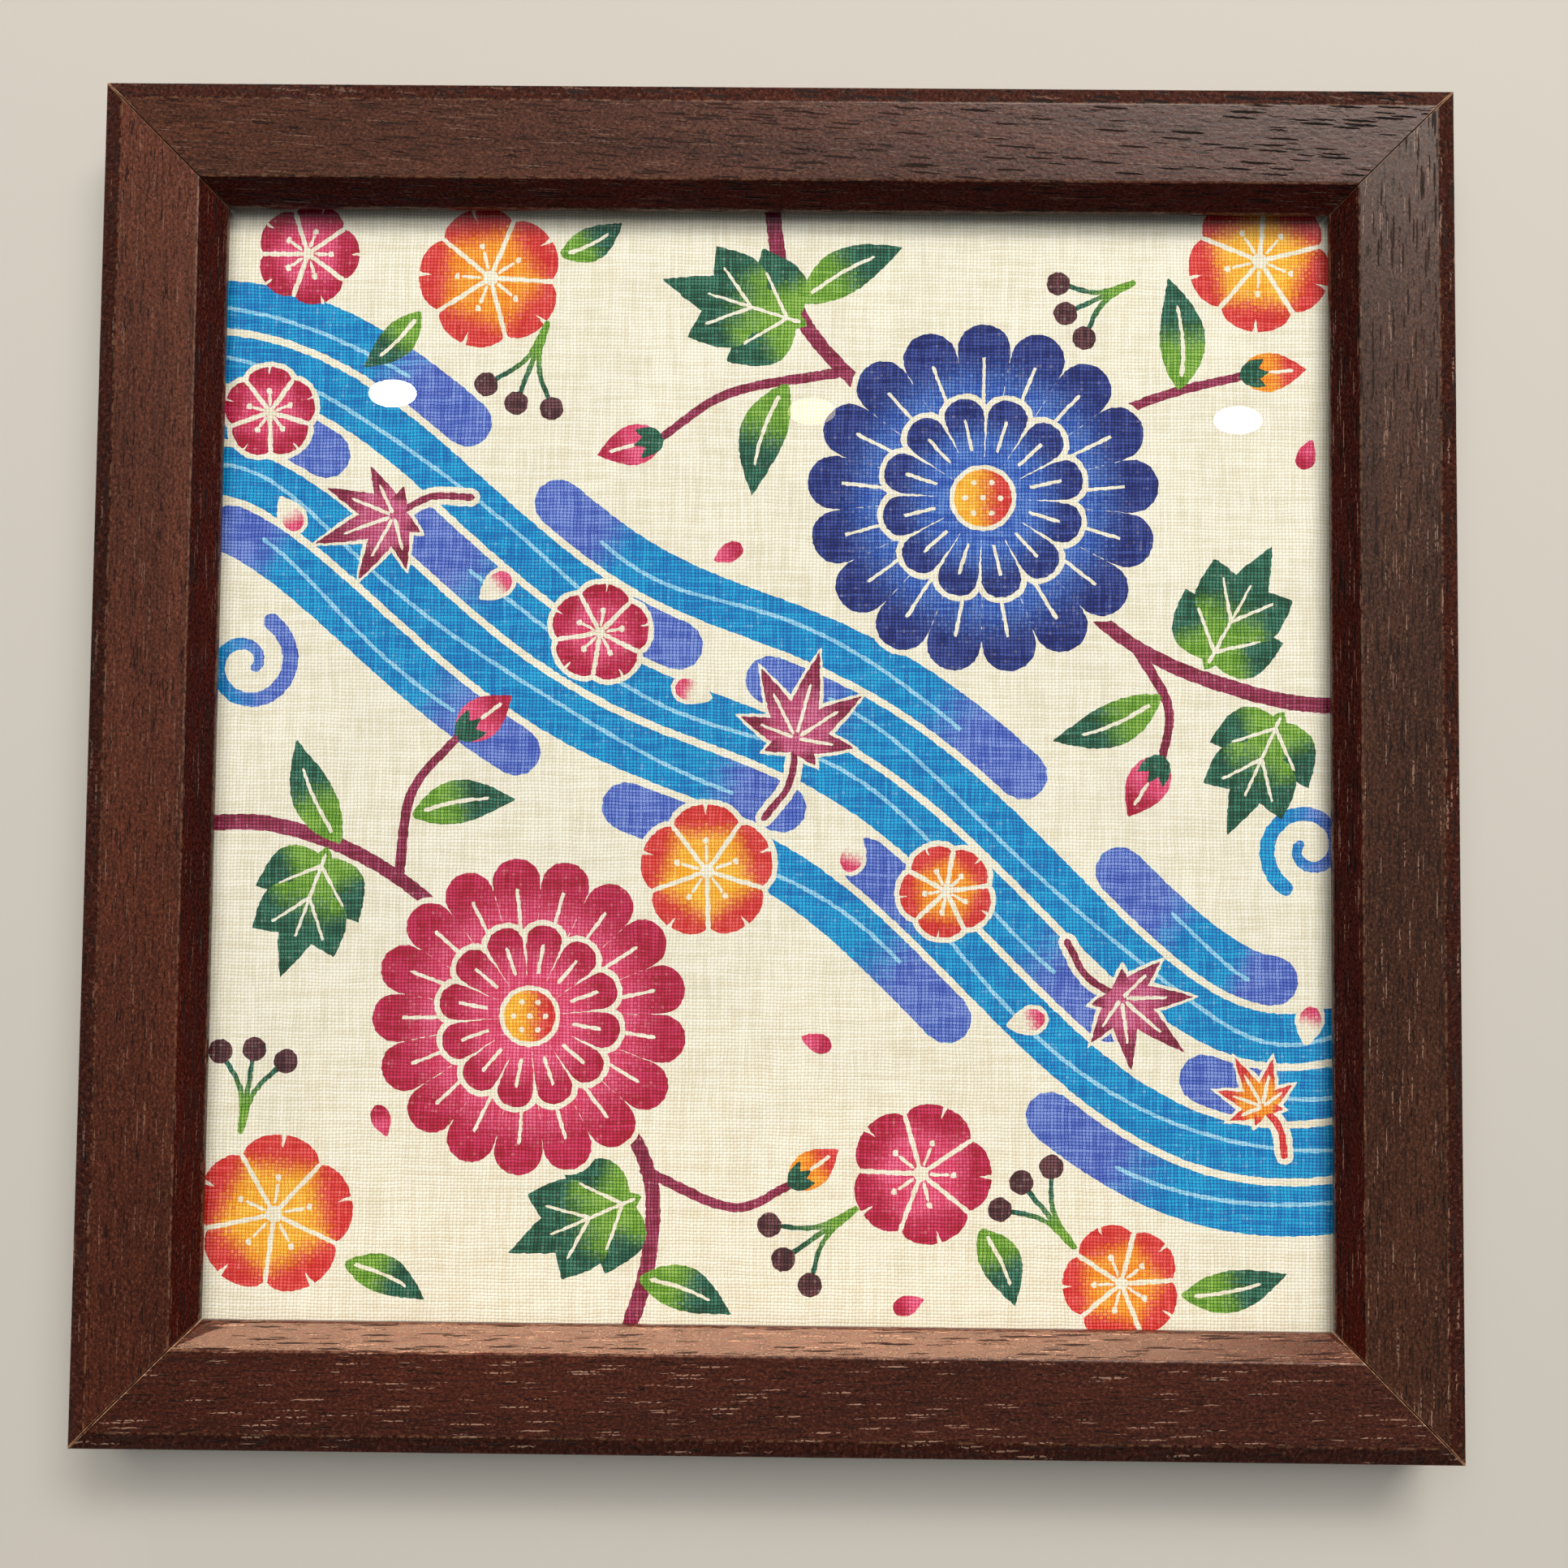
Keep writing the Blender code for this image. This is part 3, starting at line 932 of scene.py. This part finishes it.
def draw_blue_spray():
    """A blue chrysanthemum above the stream, with its stems, leaves and buds."""
    stem([complex(37, 46), complex(60, 22), complex(84, 12), complex(104, 10)], 2.2, 2.8)
    stem([complex(62, 21), complex(68, 10), complex(67, 1)], 1.8, 1.4)
    stem([complex(37, 50), complex(14, 66), complex(2, 82), complex(-2, 104)], 2.2, 2.8)
    stem([complex(12, 68), complex(-8, 64), complex(-20, 56)], 1.8, 1.4)
    stem([complex(37, 50), complex(64, 63), complex(82, 68)], 2.0, 1.4)
    lobed_leaf(complex(74, 16), complex(86, 38), 15)
    lobed_leaf(complex(88, 10), complex(78, -12), 13)
    leaf(complex(67, 12), complex(48, 4), 7.5, 1.5)
    bud(complex(67, 1), complex(61, -9), PINK, CRIMSON)
    lobed_leaf(complex(6, 76), complex(-20, 84), 15)
    leaf(complex(4, 80), complex(22, 90), 8, 1.2)
    leaf(complex(2, 66), complex(-4, 46), 8, -1.5)
    leaf(complex(70, 65), complex(68, 85), 8, -1.5)
    bud(complex(81, 68), complex(92, 69))
    bud(complex(-20, 56), complex(-31, 53), PINK, CRIMSON)
    chrysanthemum(complex(36, 46), 30.5, 5, NAVY, BLUE, YELLOW)


def draw_crimson_spray():
    """A crimson chrysanthemum below the stream, with its stems, leaves and buds."""
    stem([complex(-40, -44), complex(-62, -22), complex(-84, -12), complex(-104, -12)], 2.2, 2.8)
    stem([complex(-40, -44), complex(-22, -66), complex(-20, -84), complex(-26, -104)], 2.2, 2.8)
    stem([complex(-64, -21), complex(-62, -6), complex(-54, 4)], 1.8, 1.4)
    stem([complex(-21, -70), complex(-6, -76), complex(4, -72)], 1.8, 1.4)
    lobed_leaf(complex(-76, -15), complex(-84, -38), 14)
    leaf(complex(-62, -10), complex(-44, -7), 7.5, 1.2)
    leaf(complex(-74, -15), complex(-82, 3), 7.5, 1.2)
    lobed_leaf(complex(-21, -74), complex(-44, -84), 15)
    leaf(complex(-22, -88), complex(-6, -94), 7.5, 1.2)
    bud(complex(-54, 4), complex(-45, 11), PINK, CRIMSON)
    bud(complex(4, -72), complex(12, -66))
    chrysanthemum(complex(-41, -44), 27.0, 12, CRIMSON, PINK, YELLOW)


def draw_blossoms():
    """The larger cherry blossoms, small leaves and berries, round about the two sprays."""
    cherry_blossom(complex(-11, -19), 11.5, 20, YELLOW, RED, HALO)
    cherry_blossom(complex(84, 88), 12.5, 50, YELLOW, RED)
    cherry_blossom(complex(-84, -78), 13.5, 12, YELLOW, RED)
    cherry_blossom(complex(-50, 84), 12.5, 33, ORANGE, RED)
    cherry_blossom(complex(26, -70), 12.0, 70, PINK, CRIMSON)
    cherry_blossom(complex(-82, 88), 9.0, 0, PINK, CRIMSON)
    cherry_blossom(complex(60, -88), 10.0, 40, ORANGE, RED)
    leaf(complex(-62, 78), complex(-72, 68), 6, 0.8)
    leaf(complex(-38, 88), complex(-27, 94), 6, -0.8)
    leaf(complex(36, -79), complex(42, -92), 7, 1.0)
    leaf(complex(70, -90), complex(88, -86), 7, -1.0)
    leaf(complex(-72, -86), complex(-58, -92), 6.5, 1.0)
    berries(complex(-40, 76), 250, 15)
    berries(complex(62, 84), 205, 13)
    berries(complex(15, -76), 215, 15)
    berries(complex(52, -82), 130, 14)
    berries(complex(-90, -64), 82, 14)


def draw_drift():
    """Maple leaves, blossoms and loose petals, adrift on the stream and about it."""
    maple_leaf(complex(-66, 42), 14.5, 200)
    maple_leaf(complex(4, 4), 15.5, 75)
    maple_leaf(complex(60, -40), 14.0, 320)
    maple_leaf(complex(84, -58), 9.5, 120, ORANGE, RED)
    cherry_blossom(complex(-30, 22), 8.5, 10, PINK, CRIMSON, HALO)
    cherry_blossom(complex(30, -22), 8.0, 44, ORANGE, RED, HALO)
    cherry_blossom(complex(-88, 60), 8.0, 20, PINK, CRIMSON, HALO)
    pale_petals = (
        (-48, 30, 40), (-14, 12, 160), (14, -16, 250), (44, -44, 15), (92, -44, 80), (-84, 42, 300),
    )
    for x, y, turn in pale_petals:
        loose_petal(complex(x, y), 6.0, turn, IVORY, PINK)
    deep_petals = ((-8, 36, 30), (24, -92, 200), (-66, -62, 110), (92, 54, 250), (8, -48, 340))
    for x, y, turn in deep_petals:
        loose_petal(complex(x, y), 5.5, turn, PINK, CRIMSON)


def draw_design():
    """Two chrysanthemum sprays on either side of a stream, with cherry blossoms and maple leaves adrift."""
    draw_stream()
    draw_blue_spray()
    draw_crimson_spray()
    draw_blossoms()
    draw_drift()


# The cloth: the even steps of its outlines, how far each step is knocked aside, the grid between them, and
# how near two points become one
OUTLINE_STEP = 0.55
RAGGED = 0.10
GRID_STEP = 5.0
WELD = 0.002

# How far the cloth's front lies behind its solid's, which leaves room for its ripple
FRONT_ROOM = 0.15 * MM


def ragged_outline(outline, draw):
    """The outline in even steps, each knocked a little aside, as a stencil's edge falls on threads."""
    closed = outline + outline[:1]
    steps = []
    left_over = 0.0
    for a, b in zip(closed, closed[1:]):
        length = abs(b - a)
        at = OUTLINE_STEP - left_over
        while at <= length:
            steps.append(a + (b - a) * at / length)
            at += OUTLINE_STEP
        left_over = length - (at - OUTLINE_STEP)
    return [p + complex(draw.uniform(-RAGGED, RAGGED), draw.uniform(-RAGGED, RAGGED)) for p in steps]


def area_of(outline):
    return sum((a.conjugate() * b).imag for a, b in zip(outline, outline[1:] + outline[:1])) / 2


def ripple(x, y):
    """How far the cloth lies off a plane, in millimetres."""
    return 0.05 * (math.sin(x / 13 + 1) * math.cos(y / 17) + math.sin(x / 29 - y / 23))


def close_back(mesh, back):
    """Gives the cloth its thickness: a wall round its rim, and a plain back."""
    bm = bmesh.new()
    bm.from_mesh(mesh)
    bmesh.ops.delete(bm, geom=[v for v in bm.verts if not v.link_faces], context="VERTS")
    rim = [edge for edge in bm.edges if edge.is_boundary]
    wall = bmesh.ops.extrude_edge_only(bm, edges=rim)["geom"]
    for vert in wall:
        if isinstance(vert, bmesh.types.BMVert):
            vert.co.z = back
    back_rim = [part for part in wall if isinstance(part, bmesh.types.BMEdge) and part.is_boundary]
    bmesh.ops.edgeloop_fill(bm, edges=back_rim)
    bmesh.ops.recalc_face_normals(bm, faces=bm.faces)
    bm.to_mesh(mesh)
    bm.free()


def cutting_lines(square, half):
    """The points and faces to cut the cloth by: its square, the regions' ragged outlines and a grid."""
    draw = random.Random(7)
    points = list(square)
    faces = [list(range(4))]
    for region in regions:
        outline = ragged_outline(region.outline, draw)
        if area_of(outline) < 0:
            outline.reverse()
        faces.append(list(range(len(points), len(points) + len(outline))))
        points += outline
    count = int(2 * half / GRID_STEP)
    for i in range(1, count):
        points += [complex(i * GRID_STEP - half, j * GRID_STEP - half) for j in range(1, count)]
    return [Vector((p.real, p.imag)) for p in points], faces


def write_dyes(mesh, points, painted_faces):
    """Gives each corner the two dyes of its region, and its place between them."""
    near_dyes, far_dyes, shades = [], [], []
    for face, region in painted_faces:
        axis = region.end - region.start
        for vertex in face:
            point = complex(points[vertex].x, points[vertex].y) - region.start
            near_dyes += linear(region.near)
            far_dyes += linear(region.far)
            shades.append((point * axis.conjugate()).real / abs(axis) ** 2)
    write_attribute(mesh, "near_dye", "FLOAT_COLOR", "CORNER", near_dyes)
    write_attribute(mesh, "far_dye", "FLOAT_COLOR", "CORNER", far_dyes)
    write_attribute(mesh, "shade", "FLOAT", "CORNER", shades)


def build_cloth(material):
    """One flat mesh cut along every outline of the design, each face with its dyes, and a thickness."""
    _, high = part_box("textile")
    half = high.x / MM
    front = high.z - FRONT_ROOM
    draw_design()
    square = [complex(-half, -half), complex(half, -half), complex(half, half), complex(-half, half)]
    points, faces = cutting_lines(square, half)
    points, _, triangles, _, _, owners = delaunay_2d_cdt(points, [], faces, 0, WELD, True)
    painted = [Region(square, IVORY, IVORY, 0, 1)] + regions
    painted_faces = [(face, painted[max(owner)]) for face, owner in zip(triangles, owners) if 0 in owner]

    mesh = bpy.data.meshes.new("dyed_cloth")
    places = [(p.x * MM, p.y * MM, front + ripple(p.x, p.y) * MM) for p in points]
    mesh.from_pydata(places, [], [face for face, _ in painted_faces])
    write_dyes(mesh, points, painted_faces)
    close_back(mesh, front - CLOTH_THICKNESS)
    cloth = bpy.data.objects.new("dyed_cloth", mesh)
    bpy.context.scene.collection.objects.link(cloth)
    mesh.materials.append(material)
    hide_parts("textile")
    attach(cloth, "root")


def build_floor():
    """A plain pale floor, a hair below the frame's back."""
    deselect_all()
    bpy.ops.mesh.primitive_plane_add(size=8.0, location=(0, 0, -0.2 * MM))
    floor = bpy.context.object
    floor.name = "floor"
    floor.data.materials.append(floor_paint())


place_camera()
light_inner_slope()
light_picture()
light_room()
bpy.context.scene.view_settings.view_transform = "Standard"
build_floor()
build_rails(stained_wood())
build_clear_sheet()
build_sheet("back_board", "backing", hardboard())
build_cloth(dyed_cotton())
